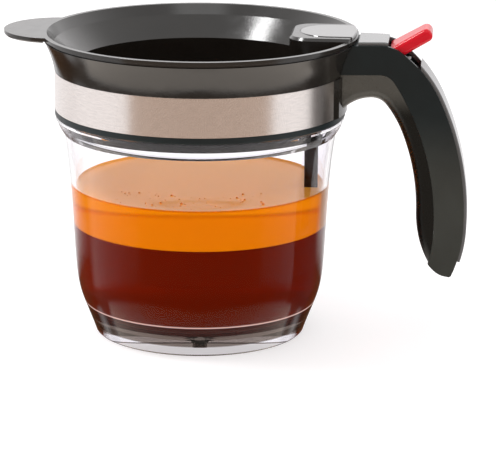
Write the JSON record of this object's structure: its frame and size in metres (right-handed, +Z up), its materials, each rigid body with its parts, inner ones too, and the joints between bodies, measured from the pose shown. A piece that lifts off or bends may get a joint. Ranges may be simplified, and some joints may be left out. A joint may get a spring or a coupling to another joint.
{
  "type": "gravy fat separator",
  "caption": "Clear cup that drains from its floor, with a dark flared collar, a steel band, a lift-off strainer lid and an arched handle whose thumb lever lifts the drain plug.",
  "frame": {"origin": "on the cup's axis at table level, in the plane of the ring that the cup stands on", "axes": "+Z up along the cup's axis; +X towards the handle; the lid's thumb tab points along -X; the thumb lever turns about +Y"},
  "size_m": [0.2246, 0.152, 0.1521],
  "materials": {
    "clear_plastic": "clear, polished",
    "dark_gloss": "glossy",
    "charcoal": "satin",
    "soft_grip": "soft satin",
    "trim_gloss": "high gloss",
    "brushed_band": "fine brushed round the band",
    "red_plastic": "glossy",
    "dark_works": "moulded, plain",
    "pin_steel": "ground",
    "spring_steel": "drawn wire",
    "screw_steel": "plated",
    "seal_silicone": "matte",
    "plug_silicone": "matte"
  },
  "bodies": {
    "vessel": {"cup": "clear_plastic", "collar": "dark_gloss", "collar_seal": "seal_silicone", "steel_band": "brushed_band", "retaining_ring": "charcoal", "handle_shell": "charcoal", "handle_trim": "trim_gloss", "handle_grip": "soft_grip", "handle_screws": "screw_steel", "trim_screws": "screw_steel", "lever_pin": "pin_steel", "return_spring": "spring_steel"},
    "lever": {"thumb_lever": "red_plastic", "rocker": "dark_works"},
    "plunger": {"stem": "dark_works", "stem_pin": "pin_steel", "plug": "plug_silicone"},
    "lid": {"lid": "dark_gloss", "strainer": "dark_works", "stem_cover": "trim_gloss"}
  },
  "joints": [
    {"name": "lever_pivot", "type": "hinge", "parent": "vessel", "child": "lever", "pos_m": [0.087, 0, 0.1367], "axis": [0, 1, 0], "range_deg": [0, 12], "stiffness_Nm_per_rad": 0.1, "springref_deg": -11.46, "deforming": ["return_spring"]},
    {"name": "stem_lift", "type": "slide", "parent": "vessel", "child": "plunger", "axis": [0, 0, 1], "range_m": [0, 0.007]},
    {"name": "lid_lift", "type": "slide", "parent": "vessel", "child": "lid", "axis": [0, 0, 1], "range_m": [0, 0.06]}
  ],
  "couplings": [
    {"joint": "stem_lift", "follows": "lever_pivot", "m_per_rad": 0.0328}
  ]
}
